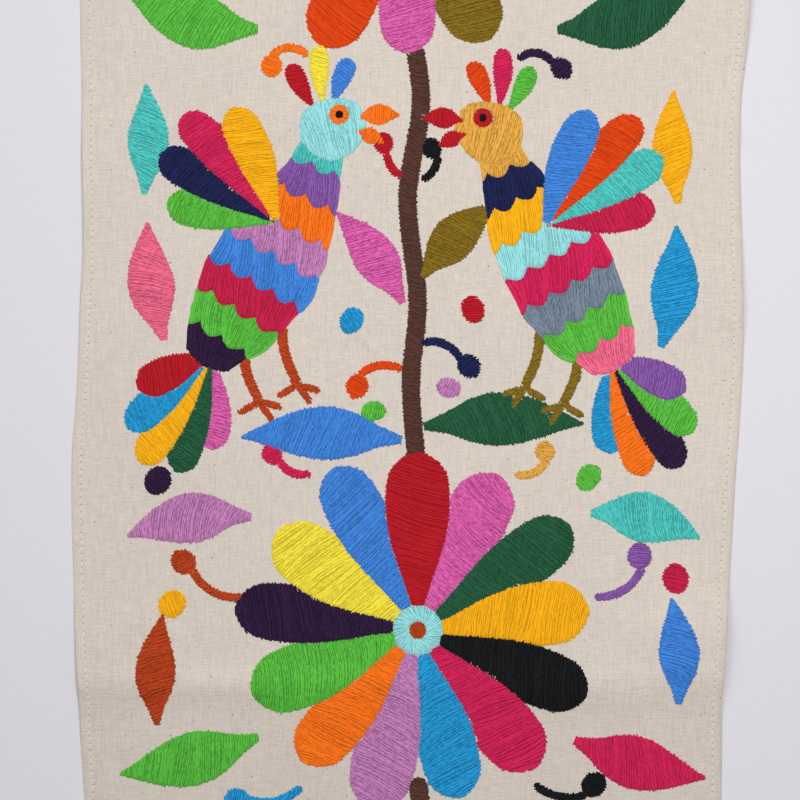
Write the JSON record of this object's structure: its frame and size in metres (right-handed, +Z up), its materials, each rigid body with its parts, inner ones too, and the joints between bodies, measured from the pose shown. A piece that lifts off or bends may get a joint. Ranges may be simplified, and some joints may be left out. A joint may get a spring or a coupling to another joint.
{
  "type": "embroidered table runner",
  "caption": "Long cotton runner with a folded, machine-stitched hem, embroidered all over with flowers, leaves, birds and deer. It lies loosely on a table.",
  "frame": {"origin": "under the middle of the runner, on the table that it lies on", "axes": "+X across the runner, +Y along it, +Z up from the table"},
  "size_m": [0.4076, 1.004, 0.0073],
  "materials": {
    "cotton": "plain-woven unbleached cotton, matt, with dense matt yarn embroidery"
  },
  "bodies": {
    "root": {"runner_cloth": "cotton"}
  },
  "joints": []
}
